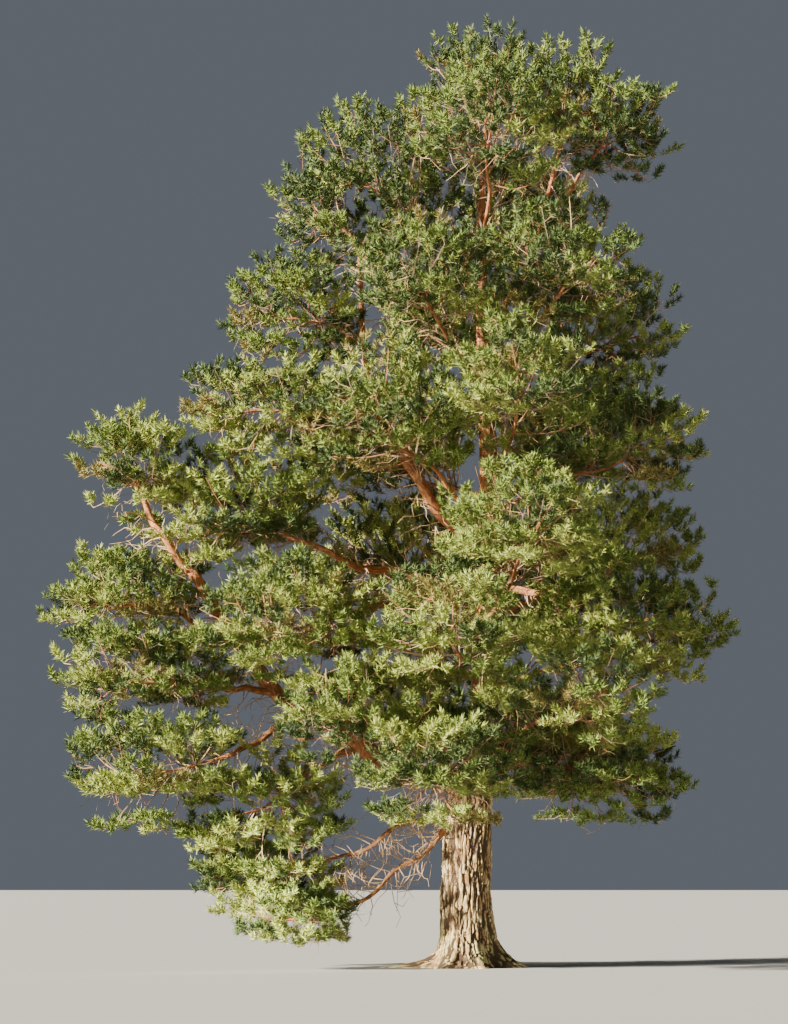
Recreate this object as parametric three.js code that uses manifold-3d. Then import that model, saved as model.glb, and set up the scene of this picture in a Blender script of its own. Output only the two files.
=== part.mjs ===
// An old, open-grown Scots pine: a short thick trunk with a root flare, crooked boughs that reach
// far out on one side, and flat pads of needles with open air between them.
// Millimetres, +Z up. The origin is the centre of the flat cut at ground level. The tree is seen
// from the south, -Y, so that west, -X, is on the left and east, +X, on the right.
import * as THREE from "three";
import { mergeVertices } from "three/addons/utils/BufferGeometryUtils.js";
import Module from "manifold-3d";

const GAP = 0.3; // clear air between two pieces that meet

// How far east of its foot the trunk's middle stands at a height.
const TRUNK_HEIGHT = 17300;
const TRUNK_LEAN = [
  [0, 0],
  [1500, -10],
  [3000, 60],
  [5200, 400],
  [7500, 450],
  [10000, 510],
  [12800, 400],
  [15200, 380],
  [TRUNK_HEIGHT, 500],
];
// Radius of the trunk at a height, without the root flare.
const TRUNK_GIRTH = [
  [0, 505],
  [900, 500],
  [2600, 480],
  [3500, 420],
  [4700, 310],
  [7500, 240],
  [10300, 180],
  [13500, 120],
  [TRUNK_HEIGHT, 46],
];
const TRUNK_SIDES = 20;
const TRUNK_STEPS = 22;
const TRUNK_STEP_POWER = 1.7; // sections stand closer together near the ground
// Surface roots that the flare runs out into: compass side, how far out, half-width in degrees, and
// how high up each one's swelling has mostly gone.
const FLARE_HEIGHT = 300;
const FLARE_ALL_ROUND = 90;
const ROOTS = [
  { bearing: 187, out: 1120, half: 19, tall: 125 },
  { bearing: 236, out: 420, half: 20, tall: 200 },
  { bearing: 290, out: 360, half: 22, tall: 220 },
  { bearing: 350, out: 660, half: 24, tall: 330 },
  { bearing: 52, out: 420, half: 24, tall: 260 },
  { bearing: 118, out: 460, half: 24, tall: 240 },
];

// Boughs: name, what each grows out of, and where (a height on the trunk, or a share of the way along
// another bough), its bearing (0 east, 90 north), how far [out, up] its tip is, and its slopes and
// radii at its start and at its tip.
const BOUGHS = [
  bough("low_west_bough", "trunk", 3050, 198, [2850, -1950], [-34, -12], [66, 34]),
  bough("low_rear_bough", "trunk", 3160, 180, [3300, -1250], [-12, -14], [72, 36]),
  bough("west_bough", "trunk", 3480, 184, [5250, 3750], [12, 60], [215, 120]),
  bough("west_leader", "west_bough", 1, 180, [1350, 2050], [60, 76], [112, 55]),
  bough("west_arm", "west_bough", 0.84, 178, [1500, 700], [2, 12], [78, 42]),
  bough("west_branch", "west_bough", 0.52, 199, [2050, -950], [-6, -14], [84, 44]),
  bough("middle_branch", "west_bough", 0.66, 196, [1650, 150], [6, 8], [84, 46]),
  bough("hanging_branch", "west_bough", 0.34, 206, [1550, -750], [-8, -40], [74, 38]),
  bough("mid_west_bough", "trunk", 6850, 205, [3100, -50], [24, -16], [115, 50]),
  bough("upper_west_bough", "trunk", 7350, 178, [4100, 1250], [8, 22], [110, 48]),
  bough("orange_bough", "trunk", 8150, 180, [2050, 2700], [36, 62], [130, 92]),
  bough("orange_leader", "orange_bough", 1, 182, [550, 3600], [62, 86], [88, 42]),
  bough("orange_arm", "orange_leader", 0.14, 194, [1300, -120], [12, -8], [58, 34]),
  bough("leader_arm", "orange_leader", 0.46, 184, [600, 420], [22, 18], [50, 32]),
  bough("south_bough", "trunk", 3300, 255, [2000, 420], [26, -4], [100, 48]),
  bough("low_east_bough", "trunk", 3750, 344, [1600, 160], [22, -8], [95, 46]),
  bough("east_crook", "trunk", 6950, 322, [1900, 150], [60, -30], [100, 46]),
  bough("east_leader", "trunk", 12700, 6, [1700, 4300], [50, 76], [84, 40]),
  bough("east_leader_arm", "east_leader", 0.58, 354, [1100, 1400], [40, 54], [46, 32]),
];
const BOUGH_SIDES = 7;
const BOUGH_STEPS = 6;
const COLLAR = 0.22; // how much a bough swells where it leaves its parent
const CROOK = 0.035; // sideways bends of a bough, as a share of its length

// Pads of needles at the boughs' tips. `spread` is half the pad's length and `tall` its half-height
// as a share of that.
const TIP_PADS = [
  { on: "low_west_bough", spread: 1450, tall: 0.5 },
  { on: "low_rear_bough", spread: 1750, tall: 0.62 },
  { on: "west_branch", spread: 2200, tall: 0.74 },
  { on: "middle_branch", spread: 2100, tall: 0.72 },
  { on: "hanging_branch", spread: 2050, tall: 0.8 },
  { on: "west_leader", spread: 1400, tall: 1.2 },
  { on: "west_arm", spread: 1900, tall: 0.66 },
  { on: "mid_west_bough", spread: 2300, tall: 0.72 },
  { on: "upper_west_bough", spread: 2300, tall: 0.74 },
  { on: "orange_leader", spread: 2000, tall: 1 },
  { on: "orange_arm", spread: 2050, tall: 0.78 },
  { on: "leader_arm", spread: 1750, tall: 0.9 },
  { on: "south_bough", spread: 2100, tall: 0.66 },
  { on: "low_east_bough", spread: 2100, tall: 0.7 },
  { on: "east_crook", spread: 2100, tall: 0.72 },
  { on: "east_leader", spread: 1700, tall: 1 },
  { on: "east_leader_arm", spread: 1600, tall: 1 },
];

// Tiers of pads whose own stems grow from the trunk: name, the height where the stems leave the trunk,
// the pads' height and how far out their middles are, half the pads' length, their half-height as a
// share of that, and their bearings.
const TIERS = [
  tier("lowest", 4100, [4900, 2950], 2250, 0.68, [222, 303, 56, 122]),
  tier("low", 5300, [6350, 2900], 2300, 0.68, [256, 352]),
  tier("middle", 6700, [8200, 2800], 2250, 0.72, [282, 20, 74, 130]),
  tier("upper", 8700, [10700, 2700], 2200, 0.76, [225, 279, 336, 40, 146]),
  tier("high", 11300, [13300, 2300], 2100, 0.82, [240, 306, 6, 112]),
  tier("topmost", 13800, [16100, 2050], 2100, 0.82, [192, 272, 62]),
];
const CROWN_TIP = { spread: 1750, tall: 0.85, above: 750 }; // the pad on the trunk's own tip

const PAD_WIDTH = 0.86; // a pad's width as a share of its length
const PAD_PUSH = 0.45; // how far past a bough's tip the pad's middle is, in half-lengths
const STEM_SIDES = 4;
const STEM_STEPS = 3;
const STEM_TIP = 14; // radius of a stem at its end
const STEM_GIRTH = 0.019; // radius of a stem at the trunk, as a share of its length
const STEM_REACH = 0.55; // how far past a pad's middle its stem runs, in half-lengths
const STEM_CROOK = 0.02;
const TIER_TWIST = 160; // each stem of a tier leaves the trunk this much above the last
const TIER_SWAY = 420;
const FIRST_PAD_SEED = 100;
const SPRAYS_PER_SQUARE_METRE = 3.8; // sprays on a pad, by its half-length times its half-width
const PAD_FLOOR = -0.85; // no spray ends lower than this share of a pad's half-height
// Sprays end in shelves one above another that rise outwards.
const SHELF_SPACING = 850;
const SHELF_PULL = 0.9; // 0 leaves the sprays spread evenly, and 1 gathers them most
const SHELF_RISE = 0.1;
const SHELF_FLOOR = -0.78; // the lowest shelf, as a share of a pad's half-height
const LONGEST_SPRAY = 0.95; // of the pad's half-length
const SPRAY_ROOTS = [0.16, 0.94]; // the stretch of a stem that sprays grow on
const SPRAY_ENDS = [0.85, 0.99]; // how deep in the pad's space they end, 1 being its outside
const TWIG_SLANT = 0.55; // how far back along the stem a spray leaves it, as a share of its length
const LIMB_CLEARANCE = 20; // between a spray and a limb
// A spray's outline, in its own lengths along it and sideways: a tooth and a notch on the left, the
// tip, and the same on the right.
const TOOTH = [0.72, 0.46];
const NOTCH = [0.6, 0.19];
const SPRAY_OUTLINE = [
  [TOOTH[0], -TOOTH[1]],
  [NOTCH[0], -NOTCH[1]],
  [1, 0],
  NOTCH,
  TOOTH,
];
const SPRAY_THICKNESS = 0.07; // where it is thickest, in its own lengths
// What a spray is tried at until it fits: shares of its full length and of its full width.
const SPRAY_TRIES = [
  [1, 1],
  [1, 0.7],
  [0.87, 0.9],
  [0.87, 0.6],
  [0.74, 0.9],
  [0.6, 0.9],
];
const GOLDEN_ANGLE = Math.PI * (3 - Math.sqrt(5));

const BARK_GREY = new THREE.MeshStandardMaterial({ color: 0x8f7a62, roughness: 0.95, metalness: 0 });
const BARK_ORANGE = new THREE.MeshStandardMaterial({ color: 0xb0683c, roughness: 0.85, metalness: 0 });
const NEEDLES = new THREE.MeshStandardMaterial({ color: 0x5d7a35, roughness: 0.75, metalness: 0 });

const wasm = await Module();
wasm.setup();

const radians = THREE.MathUtils.degToRad;
const degrees = THREE.MathUtils.radToDeg;
const up = new THREE.Vector3(0, 0, 1);

function bough(name, from, at, bearing, [reach, climb], slopes, radii) {
  return { name, from, at, bearing, reach, climb, slopes, radii };
}

function tier(name, at, [middle, reach], spread, tall, bearings) {
  return { name, at, middle, reach, spread, tall, bearings };
}

// A number from 0 to 1 that is always the same for the same seed and turn.
function chance(seed, turn) {
  const value = Math.sin(seed * 12.9898 + turn * 78.233) * 43758.5453;
  return value - Math.floor(value);
}

function heading(bearing, slope) {
  const [b, s] = [radians(bearing), radians(slope)];
  return new THREE.Vector3(Math.cos(b) * Math.cos(s), Math.sin(b) * Math.cos(s), Math.sin(s));
}

// The value at `x` of a run of [x, value] pairs, on straight lines between them.
function between(pairs, x) {
  const next = pairs.findIndex(([edge]) => edge >= x);
  if (next <= 0) return pairs[next === 0 ? 0 : pairs.length - 1][1];
  const [[x0, v0], [x1, v1]] = [pairs[next - 1], pairs[next]];
  return v0 + ((v1 - v0) * (x - x0)) / (x1 - x0);
}

function trunkCentre(height) {
  return new THREE.Vector3(between(TRUNK_LEAN, height), 0, height);
}

// How far the surface roots push the bark out at a height, on one side.
function rootFlare(height, bearing) {
  return ROOTS.reduce((sum, root) => {
    const off = ((bearing - root.bearing + 540) % 360) - 180;
    return sum + root.out * Math.exp(-((off / root.half) ** 2) - height / root.tall);
  }, FLARE_ALL_ROUND * Math.exp(-height / FLARE_HEIGHT));
}

// A closed cylinder whose every point is moved to where `place(share, cosine, sine)` puts it.
function bentCylinder(sides, steps, place) {
  const geometry = new THREE.CylinderGeometry(1, 1, 1, sides, steps);
  geometry.deleteAttribute("normal");
  geometry.deleteAttribute("uv");
  const points = geometry.getAttribute("position");
  for (let i = 0; i < points.count; i++) {
    const moved = place(points.getY(i) + 0.5, points.getZ(i), points.getX(i));
    points.setXYZ(i, moved.x, moved.y, moved.z);
  }
  return geometry;
}

function trunkGeometry(grow = 0) {
  return bentCylinder(TRUNK_SIDES, TRUNK_STEPS, (share, cosine, sine) => {
    const height = TRUNK_HEIGHT * share ** TRUNK_STEP_POWER;
    const bearing = degrees(Math.atan2(sine, cosine));
    const radius = between(TRUNK_GIRTH, height) + rootFlare(height, bearing) + grow;
    return trunkCentre(height).add(new THREE.Vector3(cosine, sine, 0).multiplyScalar(radius));
  });
}

// A tapering tube along a curve. `radiusAt` takes the share of the way along.
function tubeGeometry(curve, radiusAt, sides, steps) {
  const frames = curve.computeFrenetFrames(steps, false);
  return bentCylinder(sides, steps, (share, cosine, sine) => {
    const step = Math.round(share * steps);
    return curve
      .getPointAt(share)
      .addScaledVector(frames.normals[step], cosine * radiusAt(share))
      .addScaledVector(frames.binormals[step], sine * radiusAt(share));
  });
}

// A bough's own line: a smooth sweep from its root to its tip, with seeded crooks on the way.
class CrookedLine extends THREE.Curve {
  constructor(start, startHeading, end, endHeading, crook, seed) {
    super();
    const length = start.distanceTo(end);
    const leaving = start.clone().addScaledVector(startHeading, 0.36 * length);
    const arriving = end.clone().addScaledVector(endHeading, -0.36 * length);
    this.sweep = new THREE.CubicBezierCurve3(start, leaving, arriving, end);
    this.side = new THREE.Vector3(start.y - end.y, end.x - start.x, 0).normalize();
    this.bend = crook * length;
    this.turns = [chance(seed, 1), chance(seed, 2)];
  }

  getPoint(share) {
    const bend = this.bend * Math.sin(Math.PI * share) ** 2;
    const sideways = Math.sin(2 * Math.PI * (1.6 * share + this.turns[0]));
    const upwards = Math.sin(2 * Math.PI * (2.1 * share + this.turns[1]));
    const point = this.sweep.getPoint(share).addScaledVector(this.side, bend * sideways);
    return point.addScaledVector(up, 0.8 * bend * upwards);
  }
}

function boughRadius({ radii }, share) {
  const collar = 1 + COLLAR * Math.exp(-share * 14);
  return (radii[1] + (radii[0] - radii[1]) * (1 - share) ** 0.85) * collar;
}

// Works out each bough's line in the order of the list, so that a parent is always ready.
function layOutBoughs() {
  const ready = new Map();
  BOUGHS.forEach((one, index) => {
    const parent = ready.get(one.from);
    const continues = one.at === 1;
    const startHeading = continues ? parent.endHeading : heading(one.bearing, one.slopes[0]);
    const start = parent ? parent.line.getPointAt(one.at) : trunkCentre(one.at);
    if (continues) start.addScaledVector(startHeading, GAP);
    const end = start.clone().addScaledVector(heading(one.bearing, 0), one.reach);
    end.z += one.climb;
    const endHeading = heading(one.bearing, one.slopes[1]);
    const line = new CrookedLine(start, startHeading, end, endHeading, CROOK, index + 1);
    ready.set(one.name, { ...one, line, end, endHeading });
  });
  return ready;
}

function boughGeometry(one, grow = 0) {
  return tubeGeometry(one.line, (share) => boughRadius(one, share) + grow, BOUGH_SIDES, BOUGH_STEPS);
}

// A pad of needles: an egg-shaped space round `middle`, with a stem that runs into it from `start`.
function pad(name, start, startHeading, middle, bearing, spread, tall, stemRadius) {
  const along = heading(bearing, 0);
  const side = heading(bearing + 90, 0);
  const half = [spread, spread * PAD_WIDTH, spread * tall];
  return { name, start, startHeading, middle, along, side, half, spread, stemRadius };
}

function tipPad(boughs, { on, spread, tall }) {
  const { end, endHeading, bearing, radii } = boughs.get(on);
  const start = end.clone().addScaledVector(endHeading, GAP);
  const middle = start.clone().addScaledVector(endHeading, PAD_PUSH * spread * Math.max(1, tall));
  return pad(`${on}_needles`, start, endHeading, middle, bearing, spread, tall, radii[1]);
}

function tierPad(one, bearing, turn) {
  const start = trunkCentre(one.at + TIER_TWIST * turn);
  const middle = start.clone().addScaledVector(heading(bearing, 0), one.reach);
  middle.z = one.middle + TIER_SWAY * Math.sin(2.4 * turn);
  const slope = degrees(Math.atan2(middle.z - start.z, one.reach));
  const radius = STEM_GIRTH * start.distanceTo(middle);
  const name = `${one.name}_needles_${turn + 1}`;
  return pad(name, start, heading(bearing, slope - 6), middle, bearing, one.spread, one.tall, radius);
}

function layOutPads(boughs) {
  const tip = trunkCentre(TRUNK_HEIGHT + GAP);
  const top = trunkCentre(TRUNK_HEIGHT + CROWN_TIP.above);
  const pads = [
    ...TIP_PADS.map((one) => tipPad(boughs, one)),
    ...TIERS.flatMap((one) => one.bearings.map((bearing, turn) => tierPad(one, bearing, turn))),
    pad("crown_tip_needles", tip, up.clone(), top, 0, CROWN_TIP.spread, CROWN_TIP.tall, 42),
  ];
  return pads.map((one, index) => ({ ...one, seed: FIRST_PAD_SEED + index }));
}

// How far out in a pad's space a point is: 0 in its middle, 1 on its outside.
function depthIn(one, point) {
  const off = point.clone().sub(one.middle);
  return Math.hypot(off.dot(one.along) / one.half[0], off.dot(one.side) / one.half[1], off.z / one.half[2]);
}

// Moves a place in a pad towards the shelf that is nearest to it.
function shelved(one, place) {
  const away = Math.hypot(place.x - one.middle.x, place.y - one.middle.y);
  const lowest = one.middle.z + SHELF_FLOOR * one.half[2];
  const level = (place.z - lowest - SHELF_RISE * away) / SHELF_SPACING;
  const drop = ((SHELF_PULL * SHELF_SPACING) / (2 * Math.PI)) * Math.sin(2 * Math.PI * level);
  return place.addScaledVector(up, -drop);
}

// Where the pad's numbered spray ends. The places wind round the pad from its top down.
function sprayEnd(one, turn, count) {
  const level = 1 - ((turn + 0.5) / count) * (1 - PAD_FLOOR);
  const round = Math.sqrt(1 - level * level);
  const angle = turn * GOLDEN_ANGLE + one.seed;
  const out = THREE.MathUtils.lerp(...SPRAY_ENDS, chance(one.seed, turn));
  const end = one.middle.clone().addScaledVector(one.along, out * one.half[0] * round * Math.cos(angle));
  end.addScaledVector(one.side, out * one.half[1] * round * Math.sin(angle));
  return shelved(one, end.addScaledVector(up, out * one.half[2] * level));
}

function stemLine(one) {
  const far = one.middle.clone().addScaledVector(one.along, STEM_REACH * one.spread);
  const farHeading = one.along.clone().addScaledVector(up, 0.35).normalize();
  return new CrookedLine(one.start, one.startHeading, far, farHeading, STEM_CROOK, one.seed);
}

// A point on the straight runs that a stem's tube is made of.
function onStem(knots, share) {
  const place = share * STEM_STEPS;
  const low = Math.min(Math.floor(place), STEM_STEPS - 1);
  return knots[low].clone().lerp(knots[low + 1], place - low);
}

// Where a spray leaves the stem: a little way back, so that it slants outwards.
function sprayRoot(knots, end) {
  const shares = Array.from({ length: 21 }, (_, i) => i / 20);
  const distances = shares.map((share) => onStem(knots, share).distanceTo(end));
  const nearest = Math.min(...distances);
  const back = (TWIG_SLANT * nearest) / knots[0].distanceTo(knots[STEM_STEPS]);
  const share = shares[distances.indexOf(nearest)] - back;
  return onStem(knots, THREE.MathUtils.clamp(share, ...SPRAY_ROOTS));
}

// A spray is one closed, toothed blade. It widens from a point inside the stem and is thick in its middle.
function sprayPoints(root, end, width, roll) {
  const length = root.distanceTo(end);
  const forward = end.clone().sub(root).normalize();
  const across = new THREE.Vector3().crossVectors(forward, up).normalize().applyAxisAngle(forward, roll);
  const faceUp = new THREE.Vector3().crossVectors(forward, across);
  const place = (along, sideways, height) => {
    const point = root.clone().addScaledVector(forward, along * length);
    point.addScaledVector(across, sideways * width * length);
    return point.addScaledVector(faceUp, height * length);
  };
  const [top, under] = [0.5, -0.5].map((side) => place(NOTCH[0], 0, side * SPRAY_THICKNESS));
  return [top, under, root, ...SPRAY_OUTLINE.map(([along, sideways]) => place(along, sideways, 0))];
}

function sprayFaces() {
  const corners = SPRAY_OUTLINE.length + 1;
  const faces = [];
  for (let i = 0; i < corners; i++) {
    const [here, next] = [2 + i, 2 + ((i + 1) % corners)];
    faces.push(0, here, next, 1, next, here);
  }
  return faces;
}

function solidOf(geometry) {
  const merged = mergeVertices(geometry, 1e-3);
  const mesh = new wasm.Mesh({
    numProp: 3,
    vertProperties: merged.getAttribute("position").array,
    triVerts: new Uint32Array(merged.index.array),
  });
  return new wasm.Manifold(mesh);
}

function meshOf(solid, name, material) {
  const { vertProperties, triVerts } = solid.getMesh();
  const geometry = new THREE.BufferGeometry();
  geometry.setAttribute("position", new THREE.BufferAttribute(vertProperties, 3));
  geometry.setIndex(new THREE.BufferAttribute(triVerts, 1));
  const mesh = new THREE.Mesh(geometry, material);
  mesh.name = name;
  return mesh;
}

function largestPart(solid) {
  return solid.decompose().reduce((best, one) => (one.volume() > best.volume() ? one : best));
}

// A pad owns the places that lie deeper in its space than in any other pad's.
function owns(one, pads, point) {
  const depth = depthIn(one, point);
  return depth < 1 && pads.every((other) => other === one || depthIn(other, point) > depth);
}

// The longest spray towards an end that stays in its pad's own space and touches nothing, or null.
function fitSpray(one, root, end, roll, pads, obstacles) {
  const longest = Math.min(1, (LONGEST_SPRAY * one.spread) / root.distanceTo(end));
  for (const [share, width] of SPRAY_TRIES) {
    const tip = root.clone().lerp(end, share * longest);
    const points = sprayPoints(root, tip, width, roll);
    if (!points.every((point) => point === root || owns(one, pads, point))) continue;
    const geometry = new THREE.BufferGeometry().setFromPoints(points);
    geometry.setIndex(sprayFaces());
    const spray = solidOf(geometry);
    if (obstacles.intersect(spray).isEmpty()) return spray;
  }
  return null;
}

function stemSolid(one) {
  const radiusAt = (share) => STEM_TIP + (one.stemRadius - STEM_TIP) * (1 - share) ** 0.9;
  return solidOf(tubeGeometry(stemLine(one), radiusAt, STEM_SIDES, STEM_STEPS));
}

function padSolid(one, pads, obstacles) {
  const knots = stemLine(one).getSpacedPoints(STEM_STEPS);
  const count = Math.round((SPRAYS_PER_SQUARE_METRE * one.half[0] * one.half[1]) / 1e6);
  const parts = [stemSolid(one)];
  for (let turn = 0; turn < count; turn++) {
    const end = sprayEnd(one, turn, count);
    const roll = Math.PI * chance(one.seed, turn + 50);
    const spray = fitSpray(one, sprayRoot(knots, end), end, roll, pads, obstacles);
    if (spray) parts.push(spray);
  }
  return wasm.Manifold.union(parts);
}

function boughSolid(one, boughs, grownTrunk) {
  const solid = solidOf(boughGeometry(one));
  if (one.at === 1) return solid;
  const parent = boughs.get(one.from);
  return solid.subtract(parent ? solidOf(boughGeometry(parent, GAP)) : grownTrunk);
}

function buildPine() {
  const pine = new THREE.Group();
  const boughs = layOutBoughs();
  const pads = layOutPads(boughs);
  const grownTrunk = solidOf(trunkGeometry(GAP));
  pine.add(meshOf(solidOf(trunkGeometry()), "trunk", BARK_GREY));
  for (const one of boughs.values()) {
    pine.add(meshOf(largestPart(boughSolid(one, boughs, grownTrunk)), one.name, BARK_ORANGE));
  }
  const limbs = [
    solidOf(trunkGeometry(LIMB_CLEARANCE)),
    ...Array.from(boughs.values(), (one) => solidOf(boughGeometry(one, LIMB_CLEARANCE))),
  ];
  const solids = pads.map(stemSolid);
  pads.forEach((one, index) => {
    const obstacles = wasm.Manifold.union([...limbs, ...solids.filter((_, i) => i !== index)]);
    solids[index] = padSolid(one, pads, obstacles);
    pine.add(meshOf(largestPart(solids[index].subtract(grownTrunk)), one.name, NEEDLES));
  });
  return pine;
}

export default buildPine();
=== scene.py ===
import math

import bmesh
import bpy
import numpy as np
from mathutils import Euler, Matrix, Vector


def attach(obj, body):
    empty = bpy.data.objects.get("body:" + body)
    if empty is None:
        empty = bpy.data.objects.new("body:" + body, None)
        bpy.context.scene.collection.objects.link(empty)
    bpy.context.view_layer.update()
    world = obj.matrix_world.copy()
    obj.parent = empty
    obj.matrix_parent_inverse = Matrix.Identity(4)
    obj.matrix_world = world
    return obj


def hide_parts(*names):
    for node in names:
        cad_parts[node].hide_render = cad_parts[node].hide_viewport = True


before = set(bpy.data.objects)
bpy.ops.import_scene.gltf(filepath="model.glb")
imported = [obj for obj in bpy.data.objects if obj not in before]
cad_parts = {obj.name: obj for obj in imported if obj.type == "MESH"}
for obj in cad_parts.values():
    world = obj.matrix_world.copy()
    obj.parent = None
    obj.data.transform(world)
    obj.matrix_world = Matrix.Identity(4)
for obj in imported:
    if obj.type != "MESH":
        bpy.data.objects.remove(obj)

bl_info = {
    "name": "Old Scots pine",
    "blender": (4, 5, 0),
    "version": (1, 0, 0),
    "location": "View3D > Sidebar > Pine",
    "description": "Dresses the frame of an old open-grown Scots pine with bark, twigs and needles",
    "category": "Object",
}

# Metres, +Z up. The tree is seen from the south, -Y, with west, -X, on the left.
GAP = 0.0003

# How far east of its foot the trunk's middle stands at a height.
TRUNK_HEIGHT = 17.3
TRUNK_LEAN = ((0, 0), (1.5, -0.01), (3, 0.06), (5.2, 0.4), (7.5, 0.45), (10, 0.51), (12.8, 0.4),
              (15.2, 0.38), (TRUNK_HEIGHT, 0.5))
# Radius of the trunk at a height, without the root flare.
TRUNK_GIRTH = ((0, 0.505), (0.9, 0.50), (2.6, 0.48), (3.5, 0.42), (4.7, 0.31), (7.5, 0.24),
               (10.3, 0.18), (13.5, 0.12), (TRUNK_HEIGHT, 0.046))
FLARE_HEIGHT = 0.30
FLARE_ALL_ROUND = 0.09
# Surface roots that the flare runs out into: compass side, how far out, half-width in degrees, and
# how high up each one's swelling has mostly gone.
ROOTS = ((187, 1.12, 19, 0.125), (236, 0.42, 20, 0.20), (290, 0.36, 22, 0.22), (350, 0.66, 24, 0.33),
         (52, 0.42, 24, 0.26), (118, 0.46, 24, 0.24))

# Boughs: what each grows out of, where, its bearing, reach and climb, its slopes and radii at its
# start and tip, as in the part's source.
BOUGHS = {
    "low_west_bough": ("trunk", 3.05, 198, 2.85, -1.95, (-34, -12), (0.066, 0.034)),
    "low_rear_bough": ("trunk", 3.16, 180, 3.30, -1.25, (-12, -14), (0.072, 0.036)),
    "west_bough": ("trunk", 3.48, 184, 5.25, 3.75, (12, 60), (0.215, 0.120)),
    "west_leader": ("west_bough", 1, 180, 1.35, 2.05, (60, 76), (0.112, 0.055)),
    "west_arm": ("west_bough", 0.84, 178, 1.50, 0.70, (2, 12), (0.078, 0.042)),
    "west_branch": ("west_bough", 0.52, 199, 2.05, -0.95, (-6, -14), (0.084, 0.044)),
    "middle_branch": ("west_bough", 0.66, 196, 1.65, 0.15, (6, 8), (0.084, 0.046)),
    "hanging_branch": ("west_bough", 0.34, 206, 1.55, -0.75, (-8, -40), (0.074, 0.038)),
    "mid_west_bough": ("trunk", 6.85, 205, 3.10, -0.05, (24, -16), (0.115, 0.050)),
    "upper_west_bough": ("trunk", 7.35, 178, 4.10, 1.25, (8, 22), (0.110, 0.048)),
    "orange_bough": ("trunk", 8.15, 180, 2.05, 2.70, (36, 62), (0.130, 0.092)),
    "orange_leader": ("orange_bough", 1, 182, 0.55, 3.60, (62, 86), (0.088, 0.042)),
    "orange_arm": ("orange_leader", 0.14, 194, 1.30, -0.12, (12, -8), (0.058, 0.034)),
    "leader_arm": ("orange_leader", 0.46, 184, 0.60, 0.42, (22, 18), (0.050, 0.032)),
    "south_bough": ("trunk", 3.30, 255, 2.00, 0.42, (26, -4), (0.100, 0.048)),
    "low_east_bough": ("trunk", 3.75, 344, 1.60, 0.16, (22, -8), (0.095, 0.046)),
    "east_crook": ("trunk", 6.95, 322, 1.90, 0.15, (60, -30), (0.100, 0.046)),
    "east_leader": ("trunk", 12.70, 6, 1.70, 4.30, (50, 76), (0.084, 0.040)),
    "east_leader_arm": ("east_leader", 0.58, 354, 1.10, 1.40, (40, 54), (0.046, 0.032)),
}
COLLAR = 0.22  # how much a bough swells where it leaves its parent
COLLAR_FADE = 14  # the swelling fades out sooner with a higher number
BOUGH_TAPER = 0.85
CROOK = 0.035  # sideways bends of a bough, as a share of its length
HANDLE = 0.36  # how long a limb keeps to its headings at its ends, as a share of its length
CROOK_WAVES = (1.6, 2.1)  # waves of the bends along a limb, sideways and upwards
CROOK_RISE = 0.8  # height of the bends upwards, as a share of those sideways
BOUGH_STEP = 0.04

# Pads of needles at the boughs' tips, by the part of the crown that they belong to: half-length,
# and half-height as a share of that.
TIP_PADS = {
    "low_west": {
        "low_west_bough": (1.45, 0.5),
        "low_rear_bough": (1.75, 0.62),
        "west_branch": (2.20, 0.74),
        "middle_branch": (2.10, 0.72),
        "hanging_branch": (2.05, 0.8),
    },
    "west": {
        "west_leader": (1.40, 1.2),
        "west_arm": (1.90, 0.66),
        "mid_west_bough": (2.30, 0.72),
        "upper_west_bough": (2.30, 0.74),
    },
    "orange": {
        "orange_leader": (2.00, 1.0),
        "orange_arm": (2.05, 0.78),
        "leader_arm": (1.75, 0.9),
    },
    "east": {
        "south_bough": (2.10, 0.66),
        "low_east_bough": (2.10, 0.7),
        "east_crook": (2.10, 0.72),
        "east_leader": (1.70, 1.0),
        "east_leader_arm": (1.60, 1.0),
    },
}
# Pads with stems of their own from the trunk, by tier: where the first stem leaves the trunk, how
# high and far out the pads' middles are, their half-length, its share of height, and their sides.
TIERS = {
    "lowest": (4.1, 4.90, 2.95, 2.25, 0.68, (222, 303, 56, 122)),
    "low": (5.3, 6.35, 2.90, 2.30, 0.68, (256, 352)),
    "middle": (6.7, 8.20, 2.80, 2.25, 0.72, (282, 20, 74, 130)),
    "upper": (8.7, 10.70, 2.70, 2.20, 0.76, (225, 279, 336, 40, 146)),
    "high": (11.3, 13.30, 2.30, 2.10, 0.82, (240, 306, 6, 112)),
    "topmost": (13.8, 16.10, 2.05, 2.10, 0.82, (192, 272, 62)),
}
CROWN_TIP = (1.75, 0.85, 0.75)  # half-length, share of height, and height above the trunk's tip
CROWN_TIP_STEM = 0.042  # radius of the crown tip's stem at its foot
PAD_WIDTH = 0.86  # a pad's width as a share of its length
PAD_PUSH = 0.45  # how far past a bough's tip the pad's middle is, in half-lengths
PAD_FLOOR = -0.85  # clumps are spread down to this share of a pad's half-height
TIER_TWIST = 0.16  # each stem of a tier leaves the trunk this much above the last
TIER_SWAY = 0.42  # how much higher or lower than its tier a pad may be
FIRST_PAD_SEED = 100
GOLDEN_ANGLE = math.pi * (3 - math.sqrt(5))

# Stems: radius at the tip, radius at the trunk as a share of the length, and how far past a pad's
# middle they run, in half-lengths.
STEM_TIP = 0.014
STEM_GIRTH = 0.019
STEM_REACH = 0.55
STEM_TAPER = 0.9
STEM_CROOK = 0.02
STEM_LIFT = 0.35  # how steeply a stem rises at its end
STEM_SIDES = 12
STEM_STEP = 0.07

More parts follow.
